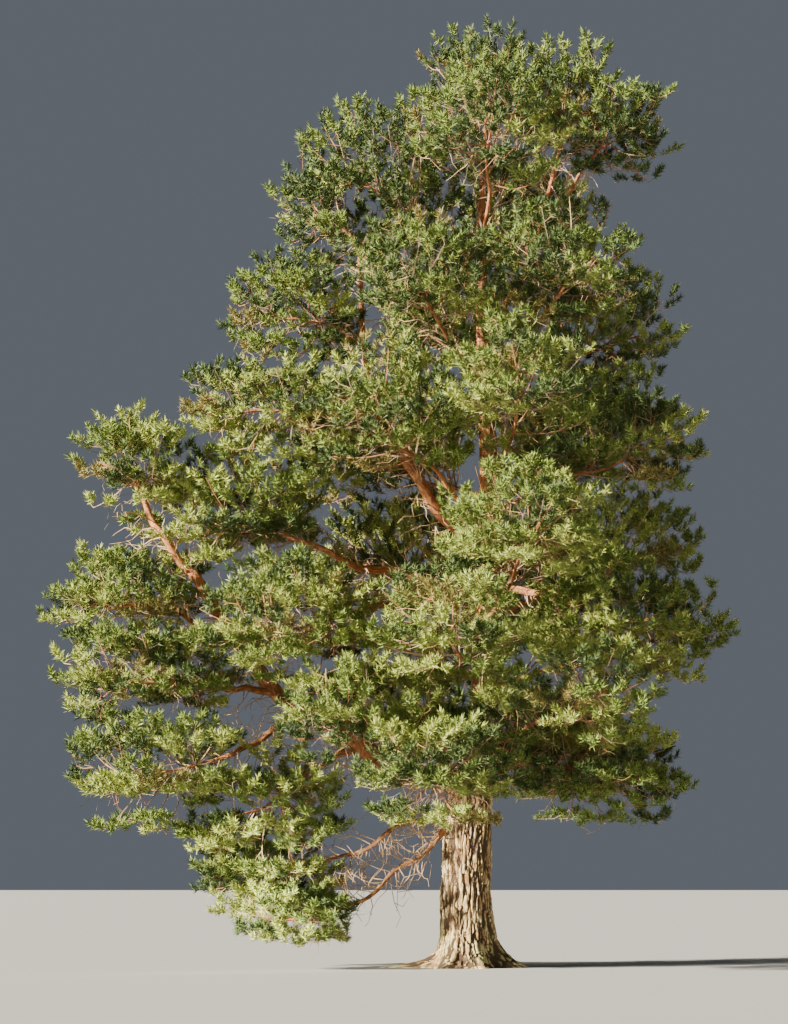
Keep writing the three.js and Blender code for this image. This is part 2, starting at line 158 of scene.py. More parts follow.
# How many twigs a pad gets, by the part of the crown: the boughs' own pads stand more alone.
FULLNESS = {"low_west": 1.2, "west": 1.25, "orange": 1.2, "east": 1.15}
TIER_FULLNESS = 0.93
TWIG_ROOTS = (0.16, 0.94)  # the stretch of a stem that twigs grow on
TWIG_SLANT = 0.55  # how far back along the stem a twig leaves it, as a share of its length
TWIG_SAG = 0.09  # how far a twig hangs through and swings sideways, as shares of its length
TWIG_SWING = 0.16
TWIG_RADIUS = (0.009, 0.006)  # at the root: the least, and what each metre of length adds
TWIG_TIP = 0.42  # radius at the end, as a share of that at the root
TWIG_ROOM = 0.12  # how far a twig's end keeps from a limb
# How far in from a pad's outside its clumps may lie, as a share, and a clump's shape.
CLUMP_DEPTH = 0.5
CLUMP_SHAPE = (1.15, 1.15, 0.45)
# Clumps gather in shelves one above another that rise outwards.
SHELF_SPACING = 0.85
SHELF_PULL = 0.9  # 0 leaves the clumps spread evenly, and 1 gathers them most
SHELF_RISE = 0.10
SHELF_FLOOR = -0.78  # the lowest shelf, as a share of a pad's half-height

BRANCHLET_FLOOR = -0.25  # how far down branchlets point: 1 is straight up, and -1 straight down
BRANCHLET_ROOTS = (1.0, 0.55)  # where on the twig the first and the last one leave it
BRANCHLET_RADII = 0.0065 * np.array((1.0, 0.8, 0.5))
BRANCHLET_DROOP = 0.12
BRANCHLET_ROOM = 0.10
OUTERMOST = 0.95  # a branchlet that ends further out in its pad's space is left out
TUFTED = 0.62  # the outer share of a branchlet that carries tufts

# Dead twigs: their bends, and the radius and the length of a step of those on living twigs, of those
# on boughs, and of the smaller ones on these.
BARE_TWIG_BENDS = 4
BARE_TWIG_TIP = 0.35  # radius at the end, as a share of that at the root
BARE_TWIG = (0.007, 0.15)
BOUGH_TWIG = (0.012, 0.20)
BOUGH_TWIGLET = (0.008, 0.13)
FIRST_BOUGH_TWIG_SEED = 900
SEEDS_PER_TWIG = 11  # the branchlets of a twig have this many seeds for themselves

# The share of the sprays that gets each tint of needles and of twigs. The tints are settings.
NEEDLE_TINTS = {"yellow_green": 0.34, "green": 0.36, "deep_green": 0.26, "olive": 0.04}
TWIG_TINTS = {"grey_brown": 0.4, "orange": 0.35, "tan": 0.25}
# Pads whose middles are higher than this get the needles' tints in other shares, with more deep green:
# painted shade on the crown's top.
PAINTED_SHADE_ABOVE = 12.4
PAINTED_SHADE_SHARES = (0.10, 0.34, 0.52, 0.04)

CAMERA_PLACE = (-1.42, -45.0, 1.6)
CAMERA_PITCH = math.radians(9.4)
CAMERA_LENS = 79.1
# The key light shines from the left, a little in front and 22 degrees up, with a weaker one under it.
KEY_FACING = (0.87, 0.32, -0.38)
KEY_WIDTH = math.radians(2)
LOW_FILL_FACING = (0.92, 0.34, -0.11)
LOW_FILL_WIDTH = math.radians(12)
LOW_FILL = 0.12  # as a share of the key light's strength
# A soft lamp lights the trunk under the low boughs.
TRUNK_LAMP_PLACE = (-16.6, -9.6, 1.2)
TRUNK_LAMP_AIM = (0.4, 0.0, 1.5)
TRUNK_LAMP_CONE = math.radians(12.5)

# Bark is old up to the first height and young from the second. Boughs and stems never get as old.
OLD_BARK = (2.6, 9.0)
BOUGH_AGE = 0.35
STEM_AGE = 0.2


def a_number(name, about, default, unit="NONE"):
    return bpy.props.FloatProperty(name=name, description=about, default=default, unit=unit)


def a_length(name, about, default):
    return a_number(name, about, default, "LENGTH")


def a_count(name, about, default):
    return bpy.props.IntProperty(name=name, description=about, default=default)


def a_colour(name, about, default):
    return bpy.props.FloatVectorProperty(name=name, description=about, default=default, subtype="COLOR")


class PineBarkSettings(bpy.types.PropertyGroup):
    plate_width: a_length("Plate width", "Width of a plate of old bark", 0.078)
    plate_stretch: a_number("Plate stretch", "How many times longer than wide a plate is", 9.0)
    furrow_depth: a_length("Furrow depth", "Depth of the furrows in old bark", 0.045)
    flake_depth: a_length("Flake depth", "Relief of thin young bark", 0.005)
    trunk_sides: a_count("Trunk sides", "Points round the trunk", 264)
    trunk_rows: a_count("Trunk rows", "Points up the trunk", 372)
    bough_sides: a_count("Bough sides", "Points round a bough", 28)
    old_dark: a_colour("Old bark, dark", "The darkest plates of old bark", (0.40, 0.230, 0.098))
    old_light: a_colour("Old bark, light", "The lightest plates of old bark", (0.93, 0.750, 0.370))
    old_wash: a_colour("Old bark, wash", "Broad brown patches on the plates", (0.46, 0.26, 0.15))
    young_dark: a_colour("Young bark, dark", "The darkest flakes of thin bark", (0.36, 0.110, 0.036))
    young_light: a_colour("Young bark, light", "The lightest flakes of thin bark", (0.62, 0.265, 0.095))
    young_grain: a_colour("Young bark, grain", "Fine pale specks on thin bark", (0.68, 0.48, 0.30))
    lichen: a_colour("Lichen", "Lichen near the foot of the trunk", (0.60, 0.58, 0.24))
    # The furrows' dark colour is partly the bark's own and partly painted shade.
    furrow: a_colour("Furrows", "The bottoms of the furrows", (0.052, 0.024, 0.012))


class PineCrownSettings(bpy.types.PropertyGroup):
    twigs: a_number("Twigs", "Twigs on a pad, for its half-length times its half-width", 10.4)
    branchlets: a_count("Branchlets", "Branchlets on a twig", 7)
    bare_twigs: a_count("Bare twigs", "Dead twigs under a living one", 2)
    bough_twigs: a_number("Bough twigs", "Dead twigs on a metre of a bough", 13.0)
    tufts: a_count("Tufts", "Tufts of needles on a branchlet", 6)
    needles: a_count("Needles", "Needles in a tuft", 18)
    clump: a_length("Clump", "Reach of the clump that a twig ends in", 0.46)
    needle_length: a_length("Needle length", "Length of a needle", 0.11)
    needle_width: a_length("Needle width", "Width of a needle at its foot", 0.023)
    yellow_green: a_colour("Yellow-green", "The lightest needles", (0.300, 0.355, 0.080))
    green: a_colour("Green", "The most common needles", (0.152, 0.205, 0.040))
    deep_green: a_colour("Deep green", "The darkest needles", (0.062, 0.095, 0.023))
    olive: a_colour("Olive", "A few fading needles", (0.220, 0.190, 0.055))
    grey_brown: a_colour("Grey-brown", "The darkest twigs", (0.170, 0.120, 0.080))
    orange: a_colour("Orange", "Twigs with bark like the boughs'", (0.330, 0.155, 0.065))
    tan: a_colour("Tan", "The lightest twigs, and the dead ones on the boughs", (0.420, 0.275, 0.150))


class PineStageSettings(bpy.types.PropertyGroup):
    sun_strength: a_number("Sun strength", "Strength of the key light", 27.5)
    sky_strength: a_number("Sky strength", "Strength of the even light from all round", 0.15)
    trunk_lamp: a_number("Trunk lamp", "Power of the lamp that lights the trunk", 86000.0, "POWER")
    floor_size: a_length("Floor size", "Half the floor's width", 600.0)
    lamp_colour: a_colour("Lamp colour", "Colour of every lamp", (1.0, 0.92, 0.78))
    sky_colour: a_colour("Sky colour", "Colour of the even light", (0.78, 0.86, 1.0))
    floor_colour: a_colour("Floor colour", "Colour of the floor", (0.27, 0.27, 0.26))


def chance(seed, turn):
    """A number from 0 to 1 that is always the same for the same seed and turn."""
    value = np.sin(np.asarray(seed) * 12.9898 + np.asarray(turn) * 78.233) * 43758.5453
    return value - np.floor(value)


def heading(bearing, slope):
    b, s = math.radians(bearing), math.radians(slope)
    return np.array((math.cos(b) * math.cos(s), math.sin(b) * math.cos(s), math.sin(s)))


def unit(vectors):
    return vectors / np.maximum(np.linalg.norm(vectors, axis=-1, keepdims=True), 1e-9)


UP = np.array((0.0, 0.0, 1.0))


def between(pairs, x):
    edges, values = zip(*pairs)
    return np.interp(x, edges, values)


def trunk_centre(height):
    height = np.asarray(height, float)
    return np.stack((between(TRUNK_LEAN, height), np.zeros_like(height), height), axis=-1)


def root_flare(height, bearing):
    flare = FLARE_ALL_ROUND * np.exp(-height / FLARE_HEIGHT)
    for side, out, half, tall in ROOTS:
        off = (bearing - side + 540) % 360 - 180
        flare = flare + out * np.exp(-((off / half) ** 2) - height / tall)
    return flare


class CrookedLine:
    """A smooth sweep from a start to an end, with seeded crooks on the way."""

    def __init__(self, start, start_heading, end, end_heading, crook, seed):
        self.length = float(np.linalg.norm(end - start))
        leaving = start + start_heading * HANDLE * self.length
        arriving = end - end_heading * HANDLE * self.length
        self.knots = np.stack((start, leaving, arriving, end))
        self.side = unit(np.array((start[1] - end[1], end[0] - start[0], 0.0)))
        self.bend = crook * self.length
        self.turns = (chance(seed, 1), chance(seed, 2))
        marks = np.linspace(0, 1, 201)
        steps = np.linalg.norm(np.diff(self.point(marks), axis=0), axis=1)
        self.marks, self.run = marks, np.concatenate(((0,), np.cumsum(steps)))

    def point(self, share):
        share = np.asarray(share, float)[..., None]
        a, b, c, d = self.knots
        rest = 1 - share
        sweep = rest**3 * a + 3 * rest**2 * share * b + 3 * rest * share**2 * c + share**3 * d
        bend = self.bend * np.sin(math.pi * share) ** 2
        sideways = np.sin(2 * math.pi * (CROOK_WAVES[0] * share + self.turns[0]))
        upwards = np.sin(2 * math.pi * (CROOK_WAVES[1] * share + self.turns[1]))
        return sweep + self.side * bend * sideways + UP * CROOK_RISE * bend * upwards

    def at_length(self, share):
        return self.point(np.interp(np.asarray(share) * self.run[-1], self.run, self.marks))


class Bough:
    """One tapering limb, worked out as in the part's source."""

    def __init__(self, name, parent, seed):
        _, at, bearing, reach, climb, slopes, self.radii = BOUGHS[name]
        self.name, self.bearing = name, bearing
        start_heading = parent.end_heading if at == 1 else heading(bearing, slopes[0])
        start = parent.line.at_length(at) if parent else trunk_centre(at)
        if at == 1:
            start = start + start_heading * GAP
        self.end = start + heading(bearing, 0) * reach + UP * climb
        self.end_heading = heading(bearing, slopes[1])
        self.line = CrookedLine(start, start_heading, self.end, self.end_heading, CROOK, seed)

    def radius(self, share):
        thick, thin = self.radii
        collar = 1 + COLLAR * np.exp(-share * COLLAR_FADE)
        return (thin + (thick - thin) * (1 - share) ** BOUGH_TAPER) * collar


def lay_out_boughs():
    ready = {"trunk": None}
    for index, name in enumerate(BOUGHS):
        ready[name] = Bough(name, ready[BOUGHS[name][0]], index + 1)
    del ready["trunk"]
    return ready


def spiral_directions(count, floor, turned):
    """Directions from straight up down to a level, evenly wound: (count, 3)."""
    turn = np.arange(count)
    level = 1 - (turn + 0.5) / count * (1 - floor)
    flat = np.sqrt(1 - level**2)
    angle = turn * GOLDEN_ANGLE + turned
    return np.stack((flat * np.cos(angle), flat * np.sin(angle), level), axis=1)


class Pad:
    """An egg-shaped space for needles, with a stem that runs into it from a limb."""

    def __init__(self, node, part, seed, start, start_heading, middle, bearing, spread, tall, stem_radius):
        self.node, self.part, self.seed, self.spread, self.middle = node, part, seed, spread, middle
        self.axes = np.stack((heading(bearing, 0), heading(bearing + 90, 0), UP))
        self.half = np.array((spread, spread * PAD_WIDTH, spread * tall))
        self.stem_radius = stem_radius
        far = middle + self.axes[0] * STEM_REACH * spread
        far_heading = unit(self.axes[0] + UP * STEM_LIFT)
        self.stem = CrookedLine(start, start_heading, far, far_heading, STEM_CROOK, seed)

    def radius(self, share):
        return STEM_TIP + (self.stem_radius - STEM_TIP) * (1 - share) ** STEM_TAPER

    def depth(self, points):
        """How far out in the space points are: 0 in its middle, 1 on its outside."""
        return np.linalg.norm((points - self.middle) @ self.axes.T / self.half, axis=-1)

    def spiral(self, count, out):
        """Places that wind evenly round the space from its top down to its floor."""
        places = spiral_directions(count, PAD_FLOOR, self.seed)
        return self.middle + places * self.half * out[:, None] @ self.axes


def tip_pad(part, bough, seed, spread, tall):
    start = bough.end + bough.end_heading * GAP
    middle = start + bough.end_heading * PAD_PUSH * spread * max(1, tall)
    return Pad(f"{bough.name}_needles", part, seed, start, bough.end_heading, middle,
               bough.bearing, spread, tall, bough.radii[1])


def tier_pad(tier, turn, seed):
    at, height, reach, spread, tall, bearings = TIERS[tier]
    bearing = bearings[turn]
    start = trunk_centre(at + TIER_TWIST * turn)
    middle = start + heading(bearing, 0) * reach
    middle[2] = height + TIER_SWAY * math.sin(2.4 * turn)
    slope = math.degrees(math.atan2(middle[2] - start[2], reach))
    radius = STEM_GIRTH * float(np.linalg.norm(middle - start))
    return Pad(f"{tier}_needles_{turn + 1}", tier, seed, start, heading(bearing, slope - 6),
               middle, bearing, spread, tall, radius)


def lay_out_pads(boughs):
    pads = []
    for part, tips in TIP_PADS.items():
        for name, (spread, tall) in tips.items():
            pads.append(tip_pad(part, boughs[name], FIRST_PAD_SEED + len(pads), spread, tall))
    for tier, (*_, bearings) in TIERS.items():
        for turn in range(len(bearings)):
            pads.append(tier_pad(tier, turn, FIRST_PAD_SEED + len(pads)))
    spread, tall, above = CROWN_TIP
    tip, top = trunk_centre(TRUNK_HEIGHT + GAP), trunk_centre(TRUNK_HEIGHT + above)
    pads.append(Pad("crown_tip_needles", "topmost", FIRST_PAD_SEED + len(pads), tip, UP, top, 0,
                    spread, tall, CROWN_TIP_STEM))
    return pads


def cell_noise(cells, salt):
    """A number from 0 to 1 for each whole-numbered cell."""
    value = np.sin(cells @ np.array((127.1, 311.7, 74.7)) + salt * 19.19) * 43758.5453
    return value - np.floor(value)


def cloud(points, salt):
    """Smooth noise from 0 to 1 that changes over one unit."""
    low = np.floor(points)
    share = points - low
    share = share * share * (3 - 2 * share)
    total = np.zeros(len(points))
    for corner in np.ndindex(2, 2, 2):
        corner = np.array(corner)
        weight = np.prod(np.where(corner, share, 1 - share), axis=1)
        total += weight * cell_noise(low + corner, salt)
    return total


def flakes(points, salt):
    """How far points are from the borders of seeded cells about one unit wide, and their cell's number."""
    low = np.floor(points)
    nearest = np.full((len(points), 2), 9.0)
    number = np.zeros(len(points))
    for step in np.ndindex(3, 3, 3):
        cell = low + np.array(step) - 1
        centre = cell + np.stack([cell_noise(cell, salt + axis) for axis in range(3)], axis=1)
        distance = np.linalg.norm(points - centre, axis=1)
        closer = distance < nearest[:, 0]
        nearest[:, 1] = np.where(closer, nearest[:, 0], np.minimum(nearest[:, 1], distance))
        nearest[:, 0] = np.where(closer, distance, nearest[:, 0])
        number = np.where(closer, cell_noise(cell, salt + 4), number)
    return nearest[:, 1] - nearest[:, 0], number


def smooth(low, high, value):
    share = np.clip((value - low) / (high - low), 0, 1)
    return share * share * (3 - 2 * share)


def rings(line, sides):
    """The directions out from a line at each of its points, all the way round: (points, sides, 3)."""
    tangents = unit(np.gradient(line, axis=0))
    first = np.cross(tangents[0], UP) if abs(tangents[0][2]) < 0.9 else np.array((1.0, 0.0, 0.0))
    normals = [unit(first - tangents[0] * (first @ tangents[0]))]
    for tangent in tangents[1:]:
        normals.append(unit(normals[-1] - tangent * (normals[-1] @ tangent)))
    normals = np.array(normals)
    sideways = np.cross(tangents, normals)
    angle = np.linspace(0, 2 * math.pi, sides, endpoint=False)[None, :, None]
    return normals[:, None] * np.cos(angle) + sideways[:, None] * np.sin(angle)


def tube_faces(length, sides):
    row, side = np.meshgrid(np.arange(length - 1), np.arange(sides), indexing="ij")
    a = row * sides + side
    b = row * sides + (side + 1) % sides
    return np.stack((a, b, b + sides, a + sides), axis=-1).reshape(-1, 4)


def bark_relief(along, out, radius, age, bark, salt):
    """Height of the bark over its limb's plain surface, and the attributes that colour it."""
    where = out * radius[..., None]
    stretched = np.stack((where[..., 0], where[..., 1], along / bark.plate_stretch), axis=-1)
    points = stretched.reshape(-1, 3) / bark.plate_width
    # The plates' edges bend slowly and are finely ragged, and smaller flakes lie on the plates.
    bend = np.stack([cloud(points * (0.7, 0.7, 2.4), salt + axis) - 0.5 for axis in range(3)], axis=1)
    rough = np.stack([cloud(points * (2.6, 2.6, 16), salt + 11 + axis) - 0.5 for axis in range(3)], axis=1)
    edge, plate = flakes(points + 1.1 * bend + 0.3 * rough, salt)
    crack, flake = flakes(points * (2.1, 2.1, 7) + bend + 0.5 * rough, salt + 7)
    # Furrows between the plates widen and close up from place to place.
    width = 0.75 * cloud(points * (0.6, 0.6, 2.2), salt + 5) - 0.02
    furrow = 1 - smooth(0.0, 1.0, edge / np.maximum(width, 0.02))
    crack = 1 - smooth(0.0, 0.2, crack)
    depth = bark.flake_depth + (bark.furrow_depth - bark.flake_depth) * age.ravel()
    lumps = 0.03 * age.ravel() * (cloud(points * (0.45, 0.45, 1.2), salt + 3) - 0.5)
    height = depth * (0.2 - furrow + 0.35 * (flake - 0.5) + 0.2 * (plate - 0.5) - 0.2 * crack) + lumps
    # Furrows and cracks are coloured dark: partly the bark's own dark fissures, partly painted shade in
    # them.
    dark_furrow_and_painted_shade = np.maximum(furrow, 0.5 * crack)
    colours = {"furrow": dark_furrow_and_painted_shade, "flake": 0.65 * flake + 0.35 * plate, "age": age.ravel()}
    return height.reshape(along.shape), colours


def joined_mesh(name, points, faces, materials, slots=None, attributes=None, smooth_shaded=False):
    """One object from arrays of points and of faces with the same number of corners."""
    mesh = bpy.data.meshes.new(name)
    corners = faces.shape[1]
    mesh.vertices.add(len(points))
    mesh.vertices.foreach_set("co", np.asarray(points, np.float32).ravel())
    mesh.loops.add(faces.size)
    mesh.loops.foreach_set("vertex_index", np.asarray(faces, np.int32).ravel())
    mesh.polygons.add(len(faces))
    mesh.polygons.foreach_set("loop_start", np.arange(0, faces.size, corners, dtype=np.int32))
    for material in materials:
        mesh.materials.append(material)
    if slots is not None:
        mesh.polygons.foreach_set("material_index", np.asarray(slots, np.int32))
    mesh.update(calc_edges=True)
    for key, values in (attributes or {}).items():
        layer = mesh.attributes.new(key, "FLOAT", "POINT")
        layer.data.foreach_set("value", np.asarray(values, np.float32).ravel())
    mesh.polygons.foreach_set("use_smooth", np.full(len(faces), smooth_shaded))
    mesh.validate()
    piece = bpy.data.objects.new(name, mesh)
    bpy.context.scene.collection.objects.link(piece)
    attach(piece, "root")
    return piece


def barked_tube(line, radius_at, steps, sides, oldest, bark, salt):
    """Points, faces and bark attributes of one limb."""
    shares = np.linspace(0, 1, steps)
    middles = line.at_length(shares)
    angle = np.linspace(0, 2 * math.pi, sides, endpoint=False)
    out = np.stack((np.cos(angle), np.sin(angle)), axis=-1)[None].repeat(steps, axis=0)
    by_step = (shares * line.run[-1], radius_at(shares), oldest * old_age(middles))
    along, radius, age = (values[:, None].repeat(sides, axis=1) for values in by_step)
    height, colours = bark_relief(along, out, radius, age, bark, salt)
    points = middles[:, None] + rings(middles, sides) * (radius + height)[..., None]
    return points.reshape(-1, 3), tube_faces(steps, sides), colours


def old_age(points):
    """1 where bark is old and thick, near the ground, to 0 where it is thin and papery."""
    return 1 - smooth(*OLD_BARK, points[..., 2])


def make_trunk(bark):
    sides, rows = bark.trunk_sides, bark.trunk_rows
    heights = TRUNK_HEIGHT * np.linspace(0, 1, rows) ** 1.3
    bearings = np.linspace(0, 360, sides, endpoint=False)
    height, bearing = np.meshgrid(heights, bearings, indexing="ij")
    radius, flare = between(TRUNK_GIRTH, height), root_flare(height, bearing)
    out = np.stack((np.cos(np.radians(bearing)), np.sin(np.radians(bearing))), axis=-1)
    middle = trunk_centre(height)
    age = old_age(middle)
    relief, colours = bark_relief(height - flare, out, radius, age, bark, 1)
    relief = relief * smooth(-0.05, 0.12, height)
    points = middle + np.insert(out, 2, 0, axis=-1) * (radius + flare + relief)[..., None]
    piece = joined_mesh("trunk_bark", points.reshape(-1, 3), tube_faces(rows, sides), [bark_material(bark)],
                        attributes=colours, smooth_shaded=True)
    cap_ends(piece)
    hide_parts("trunk")


def cap_ends(piece):
    """Closes a tube's two open ends."""
    shape = bmesh.new()
    shape.from_mesh(piece.data)
    bmesh.ops.holes_fill(shape, edges=[edge for edge in shape.edges if edge.is_boundary])
    shape.to_mesh(piece.data)
    shape.free()


def join_tubes(name, tubes, replaced, material):
    """One piece from limbs made by barked_tube."""
    offsets = np.cumsum([0] + [len(tube[0]) for tube in tubes[:-1]])
    points = np.concatenate([tube[0] for tube in tubes])
    faces = np.concatenate([tube[1] + offset for tube, offset in zip(tubes, offsets)])
    colours = {key: np.concatenate([tube[2][key] for tube in tubes]) for key in tubes[0][2]}
    piece = joined_mesh(name, points, faces, [material], attributes=colours, smooth_shaded=True)
    cap_ends(piece)
    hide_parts(*replaced)


def make_boughs(bark):
    boughs = lay_out_boughs()
    tubes = []
    for salt, bough in enumerate(boughs.values()):
        steps = max(24, int(bough.line.run[-1] / BOUGH_STEP))
        tubes.append(barked_tube(bough.line, bough.radius, steps, bark.bough_sides, BOUGH_AGE, bark,
                                 20 + salt))
    join_tubes("boughs_bark", tubes, boughs, bark_material(bark))


def make_stems(bark):
    pads = lay_out_pads(lay_out_boughs())
    tubes = []
    for salt, pad in enumerate(pads):
        steps = max(16, int(pad.stem.run[-1] / STEM_STEP))
        tubes.append(barked_tube(pad.stem, pad.radius, steps, STEM_SIDES, STEM_AGE, bark, 60 + salt))
    join_tubes("stems_bark", tubes, [pad.node for pad in pads], bark_material(bark))


class Thicket:
    """Twigs and needles of one part of the crown, gathered as arrays."""

    def __init__(self):
        self.twig_points, self.twig_faces, self.twig_tints = [], [], []
        self.tufts = []
        self.count = 0

    def add_tubes(self, paths, radii, tint, sides=3):
        """Open tubes along many paths of the same number of points: (paths, points, 3)."""
        count, steps, _ = paths.shape
        tangents = unit(np.gradient(paths, axis=1))
        side = unit(np.cross(tangents, UP + 0.01))
        over = np.cross(side, tangents)
        angle = np.arange(sides) * 2 * math.pi / sides
        out = side[:, :, None] * np.cos(angle)[:, None] + over[:, :, None] * np.sin(angle)[:, None]
        points = paths[:, :, None] + out * radii[:, :, None, None]
        faces = tube_faces(steps, sides)
        quads = self.count + np.arange(count)[:, None, None] * steps * sides + faces[None]
        self.twig_points.append(points.reshape(-1, 3))
        self.twig_faces.append(quads.reshape(-1, 4))
        self.twig_tints.append(np.repeat(tint, len(faces)))
        self.count += points.size // 3


def deal(seeds, salt, shares):
    """Deals each seed a number from 0 up, each as often as its share says."""
    return np.minimum(np.searchsorted(np.cumsum(shares), chance(seeds, salt)), len(shares) - 1)


def deal_twig_tints(seeds, salt):
    return deal(seeds, salt, list(TWIG_TINTS.values()))


def deal_needle_tints(seeds, salt, pad):
    # Pads high in the crown get more deep green: painted shade on the crown's top.
    if pad.middle[2] > PAINTED_SHADE_ABOVE:
        return deal(seeds, salt, PAINTED_SHADE_SHARES)
    return deal(seeds, salt, list(NEEDLE_TINTS.values()))


def shelved(pad, places):
    """Gathers places in a pad into shelves, as a pine's sprays lie."""
    away = np.linalg.norm((places - pad.middle)[:, :2], axis=1)
    lowest = pad.middle[2] + SHELF_FLOOR * pad.half[2]
    level = (places[:, 2] - lowest - SHELF_RISE * away) / SHELF_SPACING
    drop = SHELF_PULL * SHELF_SPACING / (2 * math.pi) * np.sin(2 * math.pi * level)
    return places - UP * drop[:, None]


def twig_paths(pad, crown):
    """A pad's twigs, from its stem to the middles of their clumps: (twigs, points, 3)."""
    fullness = FULLNESS.get(pad.part, TIER_FULLNESS)
    count = round(fullness * crown.twigs * pad.half[0] * pad.half[1])
    turn = np.arange(count)
    reach = 1 - 0.62 * crown.clump / pad.half.mean()
    ends = pad.spiral(count, reach * (1 - CLUMP_DEPTH * chance(pad.seed, turn) ** 1.8))
    ends = shelved(pad, ends)
    marks = np.linspace(0, 1, 21)
    stem = pad.stem.point(marks)
    distance = np.linalg.norm(ends[:, None] - stem[None], axis=2)
    nearest = distance.min(axis=1)
    share = marks[distance.argmin(axis=1)] - TWIG_SLANT * nearest / pad.stem.length
    roots = pad.stem.point(np.clip(share, *TWIG_ROOTS))
    along = np.linspace(0, 1, 6)[None, :, None]
    sag = UP * (-TWIG_SAG * nearest)[:, None]
    sideways = TWIG_SWING * nearest * (chance(pad.seed + 7, turn) - 0.5)
    swing = unit(np.cross(ends - roots, UP)) * sideways[:, None]
    bow = np.sin(math.pi * along)
    return roots[:, None] + (ends - roots)[:, None] * along + bow * (sag + swing)[:, None]


def own_space(pad, pads, points):
    """Which points lie deeper in a pad's space than in any other's."""
    depth = pad.depth(points)
    others = np.stack([other.depth(points) for other in pads if other is not pad])
    return (depth < 1) & (others.min(axis=0) > depth)


def clear_of_limbs(points, limbs, room):
    """Which points keep some room from every limb. Batches of them save memory."""
    spots, girths = limbs
    batch = 4000
    clear = np.ones(len(points), bool)
    for first in range(0, len(points), batch):
        some = slice(first, first + batch)
        distance = np.linalg.norm(points[some, None] - spots[None], axis=2)
        clear[some] = (distance > girths + room).all(axis=1)
    return clear


def limb_spots(boughs):
    """Points along the middles of the trunk and the boughs, with the limbs' radii there."""
    heights = np.arange(0, TRUNK_HEIGHT, 0.15)
    spots, girths = [trunk_centre(heights)], [between(TRUNK_GIRTH, heights)]
    for bough in boughs.values():
        shares = np.linspace(0, 1, int(bough.line.run[-1] / 0.1))
        spots.append(bough.line.at_length(shares))
        girths.append(bough.radius(shares))
    return np.concatenate(spots), np.concatenate(girths)


def grow_pad(pad, pads, limbs, thicket, crown):
    """Twigs from the pad's stem, a clump of branchlets at each one's end, and tufts on those."""
    twigs = twig_paths(pad, crown)
    ends = twigs[:, -1]
    twigs = twigs[own_space(pad, pads, ends) & clear_of_limbs(ends, limbs, TWIG_ROOM)]
    seeds = pad.seed * 37.0 + np.arange(len(twigs))
    length = np.linalg.norm(twigs[:, -1] - twigs[:, 0], axis=1)
    least, more = TWIG_RADIUS
    radii = (least + more * length)[:, None] * np.linspace(1, TWIG_TIP, twigs.shape[1])
    thicket.add_tubes(twigs, radii, deal_twig_tints(seeds, 3))

    tips, roots, seeds = clump_places(twigs, seeds, crown)
    kept = (pad.depth(tips) < OUTERMOST) & clear_of_limbs(tips, limbs, BRANCHLET_ROOM)
    tips, roots, seeds = tips[kept], roots[kept], seeds[kept]
    along = np.linspace(0, 1, len(BRANCHLET_RADII))[None, :, None]
    droop = -BRANCHLET_DROOP * np.linalg.norm(tips - roots, axis=1)[:, None] * UP
    paths = roots[:, None] + (tips - roots)[:, None] * along + np.sin(math.pi * along) * droop[:, None]
    radii = np.tile(BRANCHLET_RADII, (len(paths), 1))
    thicket.add_tubes(paths, radii, deal_twig_tints(seeds, 9))
    grow_tufts(pad, paths, seeds, thicket, crown)
    grow_bare_twigs(pad, twigs, thicket, crown)


def clump_places(twigs, seeds, crown):
    """Where the branchlets of each twig's clump end and start, and a seed for each."""
    aims = np.stack([spiral_directions(crown.branchlets, BRANCHLET_FLOOR, turned) for turned in seeds])
    size = crown.clump * (0.6 + 0.75 * chance(seeds, 5))
    tips = twigs[:, -1][:, None] + aims * CLUMP_SHAPE * size[:, None, None]
    back = (twigs.shape[1] - 1) * np.linspace(*BRANCHLET_ROOTS, crown.branchlets)
    low = np.minimum(back.astype(int), twigs.shape[1] - 2)
    part = (back - low)[None, :, None]
    roots = twigs[:, low] * (1 - part) + twigs[:, low + 1] * part
    seeds = (seeds[:, None] * SEEDS_PER_TWIG + np.arange(crown.branchlets)).ravel()
    return tips.reshape(-1, 3), roots.reshape(-1, 3), seeds


def wander(seeds, salt):
    """A seeded sideways push in all three directions for each seed."""
    return np.stack([chance(seeds, salt + axis) - 0.5 for axis in range(3)], axis=1)


def crooked_paths(roots, directions, seeds, step):
    """Runs with sharp bends that set off from roots in given directions: (runs, points, 3)."""
    places = [roots]
    for bend in range(BARE_TWIG_BENDS):
        reach = step * (0.6 + chance(seeds, 9 + bend))
        places.append(places[-1] + directions * reach[:, None])
        directions = unit(directions + 1.5 * wander(seeds, 20 + 3 * bend))
    return np.stack(places, axis=1)


def add_bare_twigs(thicket, paths, radius, tints):
    """Tubes along crooked paths that end thin."""
    radii = np.full((len(paths), 1), radius) * np.linspace(1, BARE_TWIG_TIP, BARE_TWIG_BENDS + 1)
    thicket.add_tubes(paths, radii, tints)


def grow_bare_twigs(pad, twigs, thicket, crown):
    """Long crooked dead twigs on the shaded lower side of each living one."""
    for turn in range(crown.bare_twigs):
        seeds = pad.seed * 53.0 + np.arange(len(twigs)) * 7 + turn
        step = 1 + (2 * turn) % (twigs.shape[1] - 2)
        ahead = unit(twigs[:, step + 1] - twigs[:, step - 1])
        directions = unit(0.6 * ahead + 1.5 * wander(seeds, 0) - 0.7 * UP)
        radius, stride = BARE_TWIG
        paths = crooked_paths(twigs[:, step], directions, seeds, stride)
        kept = pad.depth(paths[:, -1]) < 1
        add_bare_twigs(thicket, paths[kept], radius, deal_twig_tints(seeds, 13)[kept])


